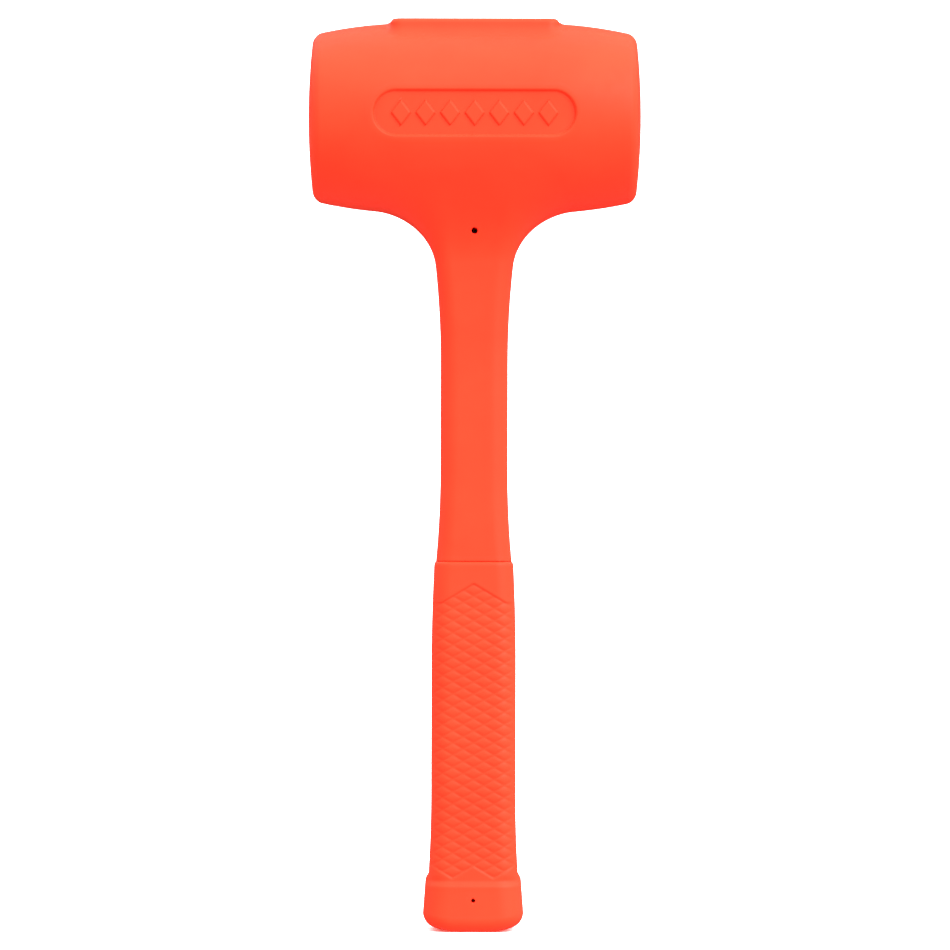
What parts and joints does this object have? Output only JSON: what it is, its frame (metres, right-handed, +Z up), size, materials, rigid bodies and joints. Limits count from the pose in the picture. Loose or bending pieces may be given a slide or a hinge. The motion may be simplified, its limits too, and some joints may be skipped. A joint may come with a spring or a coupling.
{
  "type": "dead blow mallet",
  "caption": "Dead blow mallet with a barrel head, flat top pad, slim shaft and diamond-textured grip; loose shot slides in a sealed canister in the head.",
  "frame": {"origin": "middle of the flat on the underside of the butt, with the handle upright and the head on top", "axes": "+Z up the handle to the head; +X along the head from the left striking face to the right one; front of the handle at -Y"},
  "size_m": [0.1316, 0.074, 0.36],
  "materials": {
    "casting_urethane": "satin",
    "grip_urethane": "satin",
    "canister_steel": "drawn tube and turned caps",
    "weld_metal": "as welded",
    "rod_steel": "cold drawn bar",
    "shot_steel": "polished balls"
  },
  "bodies": {
    "mallet": {"head_casting": "casting_urethane", "grip_sleeve": "grip_urethane", "canister_tube": "canister_steel", "canister_cap_left": "canister_steel", "canister_cap_right": "canister_steel", "cap_weld_left": "weld_metal", "cap_weld_right": "weld_metal", "handle_rod": "rod_steel", "rod_weld": "weld_metal"},
    "shot": {"shot_charge": "shot_steel"}
  },
  "joints": [
    {"name": "shot_slide", "type": "slide", "parent": "mallet", "child": "shot", "axis": [1, 0, 0], "range_m": [-0.0075, 0.0075]}
  ]
}
